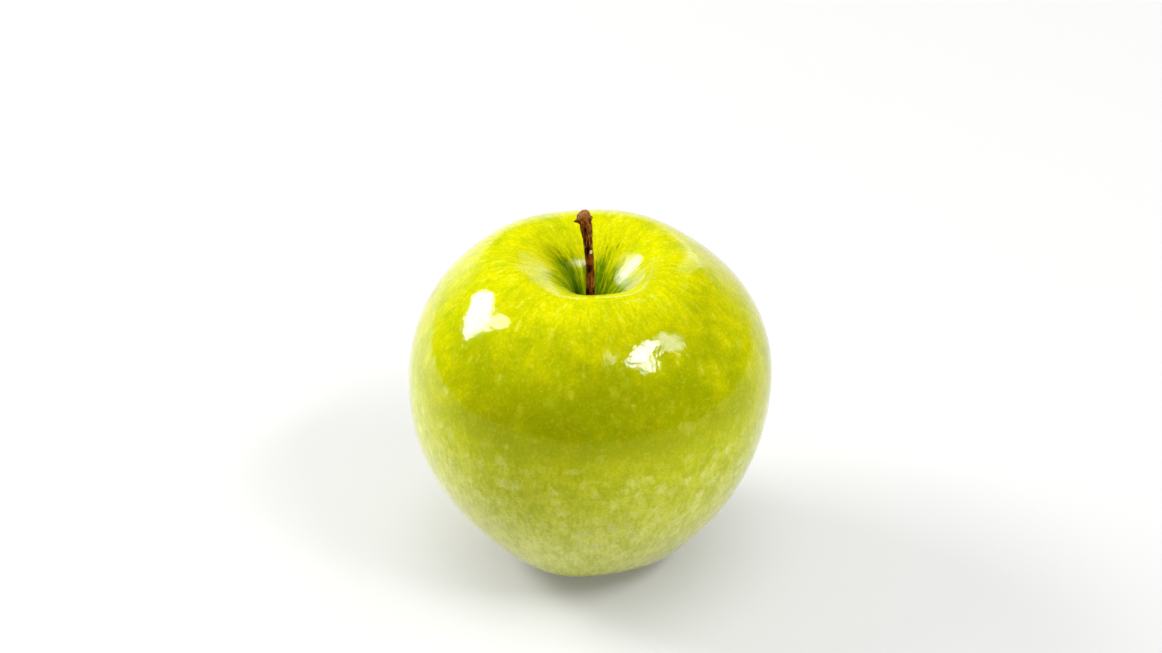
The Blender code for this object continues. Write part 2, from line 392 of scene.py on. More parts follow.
# %% Lobes and the full cheek
LOBES = 5
CROWN_LOBE_ANGLE = 250.0
SHOULDER_LOBE_ANGLE = 280.0
CROWN_LOBE_SWELL = 0.010
SHOULDER_LOBE_SWELL = 0.004
CROWN_VALLEY_LIFT = 2.0
SHOULDER_VALLEY_DROP = 0.7
CROWN_BAND = (11.6, 8.0)
SHOULDER_BAND = (17.2, 9.0)
CROWN_LOBE_RISE = [0.0, 0.10, 0.0, 0.15, 0.05]
HOLLOW_SHIFT = (1.8, -0.5)
HOLLOW_BAND = (7.5, 4.5)
FULL_CHEEK_SWELL = 0.022
FULL_CHEEK_DROP = 0.018
AXIS_LEAN = -0.004


def lobe_wave(angle, lobe_angle):
    """1 on the crest of each lobe and -1 in the valleys between."""
    return math.cos(LOBES * (angle - math.radians(lobe_angle)))


def crown_rise(angle):
    """How far the nearest lobe's end stands above the lowest, blended from lobe to lobe."""
    turn = (math.degrees(angle) - CROWN_LOBE_ANGLE) * LOBES / 360
    lobe = math.floor(turn)
    here, following = CROWN_LOBE_RISE[lobe % LOBES], CROWN_LOBE_RISE[(lobe + 1) % LOBES]
    return here + (following - here) * smoothstep(turn - lobe)


def band(radius, middle, width):
    """1 at the middle of a band of radii, dying away on both sides."""
    return math.exp(-(((radius - middle) / width) ** 2))


def grown(point):
    """Where a point of the turned fruit lies on the grown one."""
    x, y, z = point / MM
    radius = math.hypot(x, y)
    angle = math.atan2(y, x)
    crown = lobe_wave(angle, CROWN_LOBE_ANGLE)
    shoulder = lobe_wave(angle, SHOULDER_LOBE_ANGLE)
    cheek = math.cos(angle)
    swell = smoothstep(1 - z / 45) * CROWN_LOBE_SWELL * crown
    swell += smoothstep((z - 25) / 45) * (
        SHOULDER_LOBE_SWELL * shoulder + FULL_CHEEK_SWELL * cheek
    )
    wide = radius * (1 + swell)
    near_crown = band(radius, *CROWN_BAND) * smoothstep(1 - z / 16)
    near_shoulder = band(radius, *SHOULDER_BAND) * smoothstep((z - 56) / 12)
    high = z + near_crown * (CROWN_VALLEY_LIFT * (1 - crown) / 2 + crown_rise(angle))
    high -= near_shoulder * SHOULDER_VALLEY_DROP * (1 - shoulder) / 2
    high -= FULL_CHEEK_DROP * wide * cheek * smoothstep((z - 30) / 40)
    in_hollow = band(radius, *HOLLOW_BAND) * smoothstep((z - 56.5) / 5)
    return Vector((wide * math.cos(angle) + AXIS_LEAN * z + HOLLOW_SHIFT[0] * in_hollow,
                   wide * math.sin(angle) + HOLLOW_SHIFT[1] * in_hollow, high)) * MM


print("a point of the crown, grown:", [round(c / MM, 1) for c in grown(Vector((11.6, 0, 0)) * MM)])

# %% [markdown]
# The rule now moves every point of the turned fruit. The CAD fruit was grown by the same rule,
# so what is left is one small shift that brings the two over each other, with the top level.

# %% Grow the fruit and place it
for vertex in fruit.data.vertices:
    vertex.co = grown(vertex.co)
cad_low, cad_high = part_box("fruit")
corners = np.array([v.co for v in fruit.data.vertices])
low, high = Vector(corners.min(0)), Vector(corners.max(0))
shift = (cad_low + cad_high - low - high) / 2
shift.z = cad_high.z - high.z
for vertex in fruit.data.vertices:
    vertex.co += shift
print("moved by", [round(c / MM, 2) for c in shift], "mm onto the CAD fruit")

# %% [markdown]
# Skin is never as even as a turned form. Soft dents a few millimetres to a few centimetres wide
# bend the bright windows and the edge of the table's reflection. They are pressed inwards only,
# so the fruit keeps its size. Last, the lobes' ends are pressed level where they stand.

# %% Unevenness and resting flats
DENTS = [(16.0, 0.16), (7.0, 0.06), (3.2, 0.018)]

deselect_all()
bpy.context.view_layer.objects.active = fruit
finer = fruit.modifiers.new("finer", "SUBSURF")
finer.levels = finer.render_levels = 1
finish_modifiers(fruit)
normals = [v.normal.copy() for v in fruit.data.vertices]
for vertex, normal in zip(fruit.data.vertices, normals):
    depth = sum(
        deep * (1 + noise.noise(vertex.co / (wide * MM) + Vector((wide, 0, 0)))) / 2
        for wide, deep in DENTS
    )
    vertex.co -= normal * depth * MM
    vertex.co.z = max(vertex.co.z, 0.0)
print("fruit:", len(fruit.data.polygons), "faces,", size_in_mm(fruit), "mm")

# %% [markdown]
# Most of the skin's pattern follows the way it grew: streaks run from the stem to the calyx. A
# coordinate that goes round the fruit in two of its numbers and down the skin in the third lets
# every pattern follow the flesh. The third is an angle round a ring inside the flesh, so it
# goes on evenly from the cavity over the shoulder to the basin.

# %% Coordinates that follow the skin
RING_RADIUS, RING_HEIGHT = 15.0, 40.0
AROUND_RADIUS, DOWN_LENGTH = 30.0, 35.0


def skin_place(point):
    x, y, z = point / MM
    angle = math.atan2(y, x)
    down = math.atan2(math.hypot(x, y) - RING_RADIUS, z - RING_HEIGHT)
    down += math.tau if down < -2 else 0
    return (AROUND_RADIUS * math.cos(angle) * MM, AROUND_RADIUS * math.sin(angle) * MM,
            DOWN_LENGTH * down * MM)


def store_places(piece, name, function):
    """Writes one vector for each point of the piece, which its finish reads by that name."""
    attribute = piece.data.attributes.new(name, "FLOAT_VECTOR", "POINT")
    values = np.array([function(v.co) for v in piece.data.vertices], np.float32)
    attribute.data.foreach_set("vector", values.ravel())
    return values


places = store_places(fruit, "skin_place", skin_place)
print("down the skin, mm:", [round(float(v) / MM, 1) for v in (places[:, 2].min(), places[:, 2].max())])
fruit.data.shade_smooth()
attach(fruit, "root")
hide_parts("fruit")

# %% [markdown]
# ## Patterns
#
# Skin, bark and dry leaf share a few patterns. Each pattern is a node group, built once, with
# named inputs for its sizes in millimetres, so that every finish can set its own. A noise gives
# clouds, a stretched noise gives streaks, and random cells give dots.

# %% Helpers for groups
def new_group(name, inputs, outputs):
    """An empty node group, with its input and output nodes."""
    tree = bpy.data.node_groups.new(name, "ShaderNodeTree")
    for title, kind in inputs:
        tree.interface.new_socket(title, in_out="INPUT", socket_type="NodeSocket" + kind)
    for title, kind in outputs:
        tree.interface.new_socket(title, in_out="OUTPUT", socket_type="NodeSocket" + kind)
    return tree, tree.nodes.new("NodeGroupInput").outputs, tree.nodes.new("NodeGroupOutput").inputs


def use_group(tree, group, **values):
    """The outputs of a pattern's group, placed here with its own values."""
    return add_node(tree, "Group", values, node_tree=group).outputs


print("helpers for groups:", [step.__name__ for step in (new_group, use_group)])

# %% Patches: soft cloudy areas, of a size in millimetres
patches, given, result = new_group(
    "patches", [("Place", "Vector"), ("Size", "Float"), ("Detail", "Float")], [("Value", "Float")]
)
scale = maths(patches, "DIVIDE", 1 / MM, given["Size"])
cloud = add_node(patches, "TexNoise", {"Vector": given["Place"], "Scale": scale,
                                       "Detail": given["Detail"], "Roughness": 0.55})
patches.links.new(cloud.outputs["Fac"], result["Value"])
print("patches:", len(patches.nodes), "nodes")

# %% Streaks: lines that run along the third number of the place
streaks, given, result = new_group(
    "streaks", [("Place", "Vector"), ("Across", "Float"), ("Along", "Float")], [("Value", "Float")]
)
across = maths(streaks, "DIVIDE", 1 / MM, given["Across"])
along = maths(streaks, "DIVIDE", 1 / MM, given["Along"])
drawn = add_node(streaks, "CombineXYZ", {0: across, 1: across, 2: along}).outputs[0]
drawn = add_node(streaks, "VectorMath", {0: given["Place"], 1: drawn}, operation="MULTIPLY").outputs[0]
cloud = add_node(streaks, "TexNoise", {"Vector": drawn, "Scale": 1.0, "Detail": 2.0, "Roughness": 0.5})
streaks.links.new(cloud.outputs["Fac"], result["Value"])
print("streaks:", len(streaks.nodes), "nodes")

# %% Dots: soft uneven spots of mixed size, scattered with a spacing, some left out
dots, given, result = new_group(
    "dots",
    [("Place", "Vector"), ("Spacing", "Float"), ("Size", "Float"), ("Share", "Float")],
    [("Mask", "Float"), ("Tone", "Float")],
)
scale = maths(dots, "DIVIDE", 1 / MM, given["Spacing"])
finer_scale = maths(dots, "MULTIPLY", scale, 1.7)
wobble = {"Vector": given["Place"], "Scale": finer_scale, "Detail": 2.0}
wobble = add_node(dots, "TexNoise", wobble).outputs["Color"]
wobble = add_node(dots, "VectorMath", {0: wobble, 1: (0.5, 0.5, 0.5)}, operation="SUBTRACT").outputs[0]
reach = maths(dots, "MULTIPLY", given["Size"], 0.6 * MM)
wobble = add_node(dots, "VectorMath", {0: wobble, "Scale": reach}, operation="SCALE").outputs[0]
moved = add_node(dots, "VectorMath", {0: given["Place"], 1: wobble}, operation="ADD").outputs[0]
cells = add_node(dots, "TexVoronoi", {"Vector": moved, "Scale": scale, "Randomness": 1.0})
random_rgb = add_node(dots, "SeparateColor", {0: cells.outputs["Color"]}).outputs
radius = maths(dots, "DIVIDE", given["Size"], maths(dots, "MULTIPLY", given["Spacing"], 2.0))
radius = maths(dots, "MULTIPLY", radius, maths(dots, "ADD", random_rgb[0], 0.5))
inside = maths(dots, "SUBTRACT", 1.0, maths(dots, "DIVIDE", cells.outputs["Distance"], radius))
inside = remap(dots, inside, 0.0, 1.0)
kept = maths(dots, "LESS_THAN", random_rgb[1], given["Share"])
dots.links.new(maths(dots, "MULTIPLY", inside, kept), result["Mask"])
dots.links.new(random_rgb[2], result["Tone"])
print("dots:", len(dots.nodes), "nodes")

# %% [markdown]
# ## The skin
#
# Green skin is not one green. Yellower flesh shines through at the shoulder, greener and darker
# patches lie on the flank, fine streaks run from stem to calyx, and pale breathing pores are
# scattered over it. One painted picture could hold all that, but it would stretch over the
# lobes and show its edges. Patterns worked out from the place on the skin do neither, so each
# step below lays one of them over the colour so far. Places down the skin are in millimetres:
# 0 is the rim of the hollow, about 50 the widest part, 110 the crown.

# %% Skin colours and places
SKIN_YELLOW = (0.61, 0.585, 0.002)
SKIN_GREEN = (0.47, 0.510, 0.002)
SKIN_OLIVE = (0.320, 0.335, 0.002)
SKIN_LEAF = (0.24, 0.35, 0.003)
# Partly the skin's own paler underside, partly painted light on the downward-facing skin, and in the
# milky pale a painted reflection of the white table.
SKIN_LOWER_AND_PAINTED_LIGHT = (0.57, 0.605, 0.010)
SKIN_PALE_AND_PAINTED_REFLECTION = (0.74, 0.76, 0.14)
SKIN_FIBRE = (0.36, 0.42, 0.004)
HOLLOW_GREEN = (0.075, 0.165, 0.001)
# Near black at the bottom of the hollow: painted shade.
HOLLOW_PAINTED_SHADE = (0.035, 0.060, 0.004)
PORE_PALE = (0.86, 0.87, 0.24)
SCUFF_TAN = (0.66, 0.60, 0.30)
SPECK_BROWN = (0.16, 0.08, 0.02)
STRETCH_DOWN = (1.0, 1.0, 0.5)

skin = bpy.data.materials.new("apple_skin")
skin.use_nodes = True
tree = skin.node_tree
gloss = tree.nodes["Principled BSDF"]
place = add_node(tree, "Attribute", {}, attribute_name="skin_place").outputs["Vector"]
spot = add_node(tree, "TexCoord", {}).outputs["Object"]
place_parts = add_node(tree, "SeparateXYZ", {0: place}).outputs
down = maths(tree, "DIVIDE", place_parts["Z"], MM)
front = remap(tree, maths(tree, "DIVIDE", place_parts["Y"], -AROUND_RADIUS * MM), 0.1, 0.95)
drawn_out = add_node(tree, "VectorMath", {0: place, 1: STRETCH_DOWN}, operation="MULTIPLY").outputs[0]


def skin_patches(size, detail):
    return use_group(tree, patches, Place=spot, Size=size, Detail=detail)["Value"]


def skin_streaks(across, along):
    return use_group(tree, streaks, Place=place, Across=across, Along=along)["Value"]


def skin_dots(where, spacing, size, share):
    return use_group(tree, dots, Place=where, Spacing=spacing, Size=size, Share=share)


broad = skin_patches(17.0, 1.0)
shadowy = skin_patches(8.5, 2.0)
small = skin_patches(5.0, 3.0)
grain = skin_patches(1.5, 3.0)
long = skin_streaks(3.2, 16.0)
fine = skin_streaks(0.7, 2.6)
print("skin:", len(tree.nodes), "nodes for places and shared patterns")

# %% [markdown]
# Yellow turns to green in clouds of two sizes, drawn out by the streaks and broken up by a
# grain, so that no patch has a plain edge. The green grows a little down the flank.

# %% Yellow and green
GREEN_DOWN = (4.0, 40.0, -0.20, 0.12)
GREEN_RANGE = (1.20, 2.25)
greenness = added(tree, remap(tree, down, *GREEN_DOWN), (broad, 1.3), (small, 0.9),
                  (centred(tree, grain), 0.9), (long, 0.55), (fine, 0.50))
ground = mixed(tree, remap(tree, greenness, *GREEN_RANGE), SKIN_YELLOW, SKIN_GREEN)
print("yellow and green:", len(tree.nodes), "nodes so far")

# %% [markdown]
# The front flank, between the shoulder and the widest part, has an olive cast in smaller
# clouds, and here and there a leaf-green streak lies over it.

# %% Olive and leaf green
FLANK_BEGINS, FLANK_ENDS = (-2.0, 32.0), (53.0, 43.0)
OLIVE_RANGE = (1.00, 2.15)
LEAF_RANGE = (0.92, 1.30)
LEAF_MOST = 0.32
flank = maths(tree, "MULTIPLY", remap(tree, down, *FLANK_BEGINS), remap(tree, down, *FLANK_ENDS))
olive = added(tree, shadowy, (flank, front), (centred(tree, shadowy), 0.9),
              (centred(tree, grain), 0.5), (small, 0.6), (fine, 0.3))
ground = mixed(tree, remap(tree, olive, *OLIVE_RANGE), ground, SKIN_OLIVE)
leafy = added(tree, small, (fine, 0.4), (long, 0.5), (centred(tree, grain), 0.5))
ground = mixed(tree, remap(tree, leafy, *LEAF_RANGE, 0.0, LEAF_MOST), ground, SKIN_LEAF)
print("olive and leaf green:", len(tree.nodes), "nodes so far")

# %% [markdown]
# Below the widest part the skin is lighter, and grows pale and milky towards the crown, with a net
# of greener fibres left in it. This is partly the skin's own paler underside and partly painted
# light: a lift against the shade on the downward-facing skin, and in the milky pale a painted
# reflection of the white table.

# %% Pale lower skin and painted light
LOWER_DOWN = (37.0, 55.0)
LOWER_MOST = 0.82
PALE_DOWN = (58.0, 112.0)
NET_SIZE = 2.6
NET_RANGE = (0.95, 0.52)
NET_MOST = 0.48
# Lighter lower skin: partly its own colour, partly painted light against its shade.
ground = mixed(tree, remap(tree, down, *LOWER_DOWN, 0.0, LOWER_MOST), ground, SKIN_LOWER_AND_PAINTED_LIGHT)
paler = added(tree, down, (grain, 16.0), (small, 22.0))
ground = mixed(tree, remap(tree, paler, *PALE_DOWN), ground, SKIN_PALE_AND_PAINTED_REFLECTION)
net = use_group(tree, patches, Place=drawn_out, Size=NET_SIZE, Detail=1.5)["Value"]
net = added(tree, net, (fine, 0.5))
ground = mixed(tree, remap(tree, net, *NET_RANGE, 0.0, NET_MOST), ground, SKIN_FIBRE)
print("pale lower skin:", len(tree.nodes), "nodes so far")

# %% [markdown]
# Inside the hollow the streaks turn dark green and run together towards the stem. Wedges, rays
# and hairs are added up, from wide to narrow, so they bunch and fray as real ones do. They also
# grow denser the deeper they go, which is partly painted shade, and at the bottom of the hollow
# the colour turns near black, which is painted shade.

# %% Dark streaks and painted shade in the hollow
IN_HOLLOW = (-15.0, -1.0, 1.0, 0.0)
STREAK_RANGE = (1.60, 2.20)
STREAK_MOST = 0.92
RIM_FADE = (-1.0, -6.0)
PAINTED_SHADE_DEPTH = (-25.0, -16.0, 0.85, 0.0)
hair = skin_streaks(1.1, 2.4)
# The streaks grow denser deeper in the hollow: partly the skin's streaks, partly painted shade.
rays = added(tree, skin_streaks(2.0, 7.0), (hair, 0.9), (skin_streaks(9.0, 40.0), 0.9),
             (remap(tree, down, *IN_HOLLOW), 0.65))
shaded = remap(tree, rays, *STREAK_RANGE, 0.0, STREAK_MOST)
shaded = maths(tree, "MULTIPLY", shaded, remap(tree, down, *RIM_FADE))
ground = mixed(tree, shaded, ground, HOLLOW_GREEN)
# Painted shade: the bottom of the hollow turns near black.
ground = mixed(tree, remap(tree, down, *PAINTED_SHADE_DEPTH), ground, HOLLOW_PAINTED_SHADE)
print("streaks in the hollow:", len(tree.nodes), "nodes so far")

# %% [markdown]
# The skin breathes through pores, which show as pale soft dots. They are few and small on the
# flank, more near the rim, and largest and closest below the widest part. Growth has drawn them
# out a little down the skin.

# %% Pores
NEAR_RIM, LOW_DOWN = (34.0, 8.0), (38.0, 60.0)
PORE_SPACING, PORE_SIZES = 2.3, (2.0, 3.0)
PORE_STRENGTH = (0.07, 0.27)
FEWEST, NEAR_RIM_SHARE = 0.45, 0.75
TINY_SPACING, TINY_SIZE, TINY_STRENGTH = 1.0, 1.0, 0.08
low_down = remap(tree, down, *LOW_DOWN)
pore_size = remap(tree, down, 20.0, 60.0, *PORE_SIZES)
pore_share = maths(tree, "MULTIPLY", remap(tree, down, *NEAR_RIM), NEAR_RIM_SHARE)
pore_share = maths(tree, "MAXIMUM", maths(tree, "MAXIMUM", pore_share, low_down), FEWEST)
pores = skin_dots(drawn_out, PORE_SPACING, pore_size, pore_share)
tiny = skin_dots(drawn_out, TINY_SPACING, TINY_SIZE, 0.7)
strength = remap(tree, pores["Tone"], 0.0, 1.0, *PORE_STRENGTH)
strength = maths(tree, "MULTIPLY", strength, added(tree, 1.0, (low_down, 1.3)))
pore_mask = maths(tree, "MULTIPLY", pores["Mask"], strength)
pore_mask = added(tree, pore_mask, (tiny["Mask"], TINY_STRENGTH))
pore_mask = maths(tree, "MULTIPLY", pore_mask, remap(tree, down, -14.0, 4.0))
ground = mixed(tree, pore_mask, ground, PORE_PALE)
print("pores:", len(tree.nodes), "nodes so far")

# %% [markdown]
# A half-millimetre grain, light and dark, keeps the skin from looking like plastic close up.

# %% Grain
GRAIN_SIZE = 0.55
GRAIN_DARK, GRAIN_LIGHT = 0.26, 0.11
dust = added(tree, skin_patches(GRAIN_SIZE, 2.0), (centred(tree, fine), 0.5))
ground = mixed(tree, remap(tree, dust, 0.60, 0.34, 0.0, GRAIN_DARK), ground, SKIN_LEAF)
ground = mixed(tree, remap(tree, dust, 0.52, 0.74, 0.0, GRAIN_LIGHT), ground, PORE_PALE)
print("grain:", len(tree.nodes), "nodes so far")

# %% [markdown]
# Near the crown the skin has rubbed against leaves and crates. The rubs have healed as tan
# scuffs and thin crooked veins, the eye of the calyx is ringed with the same corky tan, and a
# few brown specks lie anywhere.

# %% Scuffs, veins and specks
SCUFFS_DOWN = (60.0, 80.0)
SCUFF_SIZE, VEIN_SIZE = 3.6, 5.0
VEIN_WIDTH = 0.022
EYE_DOWN = (124.0, 138.0)
SPECK_SPACING, SPECK_SIZE = 11.0, 0.8
scuffs = skin_patches(SCUFF_SIZE, 6.0)
veins = {"Vector": spot, "Scale": 1 / (VEIN_SIZE * MM), "Detail": 5.0, "Distortion": 1.2}
veins = add_node(tree, "TexNoise", veins).outputs["Fac"]
veins = maths(tree, "ABSOLUTE", centred(tree, veins))
veins = remap(tree, veins, VEIN_WIDTH, 0.0, 0.0, 0.5)
veins = maths(tree, "MULTIPLY", veins, remap(tree, broad, 0.50, 0.62))
scuff_mask = maths(tree, "MAXIMUM", remap(tree, scuffs, 0.60, 0.74, 0.0, 0.5), veins)
scuff_mask = maths(tree, "MULTIPLY", scuff_mask, remap(tree, down, *SCUFFS_DOWN))
ground = mixed(tree, scuff_mask, ground, SCUFF_TAN)
round_eye = remap(tree, added(tree, down, (fine, 14.0)), *EYE_DOWN, 0.0, 0.7)
ground = mixed(tree, round_eye, ground, SCUFF_TAN)
specks = skin_dots(spot, SPECK_SPACING, SPECK_SIZE, 0.45)["Mask"]
ground = mixed(tree, maths(tree, "MULTIPLY", specks, 0.8), ground, SPECK_BROWN)
print("scuffs, veins and specks:", len(tree.nodes), "nodes so far")

# %% [markdown]
# Wax closes it all with one clear gloss, so a low roughness on the base layer does the shine,
# and very small bumps break the edges of what it mirrors. In the hollow the wax was never
# rubbed bright. The bloom, a dusty wax that pales the skin where it is seen edge-on, is a thin
# sheen.

# %% Gloss and fine relief
SKIN_RELIEF = 0.06
SKIN_ROUGHNESS = (0.055, 0.095)
HOLLOW_ROUGHER = 0.07
HOLLOW_DOWN = (2.0, -6.0)
WAX_IOR = 1.42
BLOOM, BLOOM_ROUGHNESS = 0.06, 0.35
hollow = remap(tree, down, *HOLLOW_DOWN)
relief = added(tree, skin_patches(2.2, 1.0), (skin_streaks(0.45, 0.9), 0.30), (pore_mask, 0.12),
               (maths(tree, "MULTIPLY", hair, hollow), 1.2))
bumps = add_node(tree, "Bump", {"Height": relief, "Distance": SKIN_RELIEF * MM})
worn = added(tree, remap(tree, small, 0.3, 0.7, *SKIN_ROUGHNESS), (scuff_mask, 0.3),
             (hollow, HOLLOW_ROUGHER), (pore_mask, 0.06))
tree.links.new(worn, gloss.inputs["Roughness"])
tree.links.new(ground, gloss.inputs["Base Color"])
tree.links.new(bumps.outputs["Normal"], gloss.inputs["Normal"])
gloss.inputs["IOR"].default_value = WAX_IOR
gloss.inputs["Sheen Weight"].default_value = BLOOM
gloss.inputs["Sheen Roughness"].default_value = BLOOM_ROUGHNESS
fruit.data.materials.clear()
fruit.data.materials.append(skin)
print("green skin:", len(tree.nodes), "nodes")

# %% [markdown]
# ## The stem
#
# The stem is the woody stalk that held the apple on the tree. It is thin, leans a little, and
# ends in a knob where it tore away from the spur, with its splinters left standing. Drying has
# drawn it into lengthwise ridges. A tube along a curve would be even all the way, so a ring is
# extruded level by level instead, and each level takes its own place and radius.

# %% The stem's shape
STEM_LINE = [
    (-0.2, 0.0, 52.8, 0.95),
    (-0.2, 0.0, 56.4, 1.00),
    (0.1, 0.1, 61.0, 1.08),
    (0.1, 0.3, 66.0, 1.02),
    (-0.1, 0.5, 70.5, 1.00),
    (-0.4, 0.6, 74.0, 1.10),
    (-0.7, 0.7, 76.8, 1.36),
    (-1.0, 0.8, 78.7, 1.72),
    (-1.1, 0.8, 80.3, 1.66),
    (-1.1, 0.8, 81.2, 0.95),
]
STEM_SIDES = 36
STEM_STEPS = 9


def extrude_levels(levels, sides, name):
    """A closed piece from rings of (x, y, z, radius) in millimetres, one above the other."""
    deselect_all()
    x, y, z, radius = levels[0]
    bpy.ops.mesh.primitive_circle_add(
        vertices=sides, radius=radius * MM, fill_type="NGON", location=Vector((x, y, z)) * MM
    )
    piece = bpy.context.object
    piece.name = name
    bpy.ops.object.transform_apply(location=True, rotation=False, scale=False)
    bpy.ops.object.mode_set(mode="EDIT")
    bpy.ops.mesh.select_all(action="SELECT")
    for below, above in zip(levels, levels[1:]):
        step = Vector(above[:3]) - Vector(below[:3])
        grow = above[3] / below[3]
        bpy.ops.mesh.extrude_region_move(TRANSFORM_OT_translate={"value": step * MM})
        bpy.ops.transform.resize(value=(grow, grow, 1.0))
    bpy.ops.mesh.inset(thickness=0.3 * levels[-1][3] * MM)
    bpy.ops.transform.translate(value=(0, 0, -0.15 * MM))
    bpy.ops.mesh.poke()
    bpy.ops.mesh.select_all(action="SELECT")
    bpy.ops.mesh.normals_make_consistent(inside=False)
    bpy.ops.object.mode_set(mode="OBJECT")
    return piece


stem = extrude_levels(smooth_line(STEM_LINE, STEM_STEPS), STEM_SIDES, "apple_stem")
stem_low, stem_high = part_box("stem")
stem_top = max(v.co.z for v in stem.data.vertices)
for vertex in stem.data.vertices:
    vertex.co += Vector((*(shift.xy), stem_high.z - stem_top))
print("stem:", len(stem.data.polygons), "faces,", size_in_mm(stem), "mm")

# %% [markdown]
# The ridges run with the wood. They are cut inwards by a noise that changes fast round the stem
# and slowly along it, and the bark's small scales by a finer one. The knob is lumpy, and a
# splinter is pulled out of each side.

# %% Ridges, scales, knob and splinter
RIDGE_DEPTH = 0.30
RIDGE_WIDTH, RIDGE_LENGTH = 0.42, 5.0
SCALE_DEPTH, SCALE_SIZE = 0.09, 0.42
KNOB_BOTTOM = 76.3
KNOB_LUMP = 0.55
SPLINTERS = [((-2.7, 0.2, 78.6), (-1.2, -0.3, -0.05)), ((0.6, 0.2, 79.4), (0.5, 0.0, 0.1))]
SPLINTER_REACH = 0.40

normals = [v.normal.copy() for v in stem.data.vertices]
for vertex, normal in zip(stem.data.vertices, normals):
    x, y, z = vertex.co / MM
    along = Vector((x / RIDGE_WIDTH, y / RIDGE_WIDTH, z / RIDGE_LENGTH))
    ridge = abs(noise.noise(along))
    scale = 0.5 + noise.noise(Vector((x, y, z * 0.6)) / SCALE_SIZE) / 2
    in_knob = smoothstep((z - KNOB_BOTTOM) / 2)
    lump = 0.5 + noise.noise(Vector((x, y, z)) / 0.9) / 2
    depth = RIDGE_DEPTH * ridge + SCALE_DEPTH * scale + KNOB_LUMP * in_knob * lump
    moved = Vector((x, y, z)) - normal * depth
    for place, pull in SPLINTERS:
        near = (Vector(place) - Vector((x, y, z))).length / SPLINTER_REACH
        moved += Vector(pull) * math.exp(-near * near)
    vertex.co = moved * MM
    vertex.co.z = min(max(vertex.co.z, stem_low.z), stem_high.z)
deselect_all()
bpy.context.view_layer.objects.active = stem
finer = stem.modifiers.new("finer", "SUBSURF")
finer.levels = finer.render_levels = 1
finish_modifiers(stem)
stem.data.shade_smooth()
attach(stem, "root")
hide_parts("stem")
print("stem:", len(stem.data.polygons), "faces,", size_in_mm(stem), "mm")

# %% [markdown]
# ## The calyx
#
# Under the apple, in the basin, the flower's five sepals have dried to brown leathery leaves
# round the eye. Each one starts as a flat grid. Its columns follow the line in which a sepal
# curls, first inwards over the eye and then out at the tip, its edges lift into a trough, and
# drying crinkles it. Five of one shape would look stamped, so each gets its own crinkle.

# %% Sepals
SEPAL_LINE = [
    (3.75, 7.2, 1.75),
    (3.3, 6.4, 1.85),
    (3.0, 5.5, 1.80),
    (2.75, 4.6, 1.50),
    (2.95, 3.7, 1.10),
    (3.8, 3.0, 0.70),
    (5.0, 2.6, 0.10),
]
SEPAL_THICKNESS = 0.22
SEPAL_CUP = 0.30
SEPAL_CRINKLE, SEPAL_CRINKLE_SIZE = 0.36, 1.1
SEPAL_CURL = [(0.0, 0.0), (0.35, -0.2), (-0.25, 0.15), (0.2, 0.3), (-0.1, -0.1)]
SEPAL_ROWS, SEPAL_COLUMNS = 26, 12


def sepal_point(across, along, number):
    """A point of a sepal that points along +X from the eye. across is -1 to 1, along 0 to 1."""
    place = along * (len(SEPAL_LINE) - 1)
    first = min(int(place), len(SEPAL_LINE) - 2)
    line = Vector(SEPAL_LINE[first]).lerp(Vector(SEPAL_LINE[first + 1]), place - first)
    radius, height, half_width = line
    out, drop = SEPAL_CURL[number]
    radius += out * along**2
    height += drop * along**2
    side = across * half_width
    crinkle = noise.noise(Vector((side, along * 6, number * 7.0)) / SEPAL_CRINKLE_SIZE)
    vein = 0.10 * math.exp(-((across / 0.16) ** 2))
    lift = SEPAL_CUP * across**2 + SEPAL_CRINKLE * crinkle * (0.4 + abs(across)) - vein
    return Vector((radius - lift * (1 - along * 0.6), side * (1 + 0.12 * crinkle),
                   height + 0.4 * lift * along))


for number in range(LOBES):
    deselect_all()
    bpy.ops.mesh.primitive_grid_add(
        x_subdivisions=SEPAL_ROWS, y_subdivisions=SEPAL_COLUMNS, size=1.0, location=(0, 0, 0)
    )
    sepal = bpy.context.object
    sepal.name = f"calyx_sepal_{number + 1}"
    turn = Matrix.Rotation(math.radians(CROWN_LOBE_ANGLE + 360 * number / LOBES), 3, "Z")
    for vertex in sepal.data.vertices:
        flat = sepal_point(2 * vertex.co.y, vertex.co.x + 0.5, number)
        vertex.co = turn @ flat * MM + Vector((*shift.xy, 0))
    thick = sepal.modifiers.new("thick", "SOLIDIFY")
    thick.thickness = SEPAL_THICKNESS * MM
    thick.offset = 0.0
    finish_modifiers(sepal)
    bpy.ops.object.mode_set(mode="EDIT")
    bpy.ops.mesh.select_all(action="SELECT")
    bpy.ops.mesh.normals_make_consistent(inside=False)
    bpy.ops.object.mode_set(mode="OBJECT")
    sepal.data.shade_smooth()
    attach(sepal, "root")
    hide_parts(f"sepal_{number + 1}")
    print(sepal.name, size_in_mm(sepal), "mm")

# %% [markdown]
# Inside the ring of sepals stands what is left of the stamens: a tuft of dry threads, some still
# carrying a dark anther, on a short cushion. The threads are modelled one by one, each a thin
# tapered tube extruded in a few bends, and then joined to the cushion as one tuft.

# %% Stamens
CUSHION_LEVELS = [
    (0, 0, 7.6, 0.55),
    (0, 0, 8.0, 0.85),
    (0, 0, 8.8, 1.0),
    (0, 0, 9.8, 1.05),
    (0, 0, 10.2, 0.9),
]
CUSHION_SIDES, THREAD_SIDES = 24, 8
THREADS = 18
THREAD_RADIUS = 0.075
ANTHER_RADIUS = 0.17
TUFT_RADIUS = 0.95
TUFT_TIP, TUFT_FOOT = 5.6, 8.3
GOLDEN_TURN = 0.382
random.seed(11)

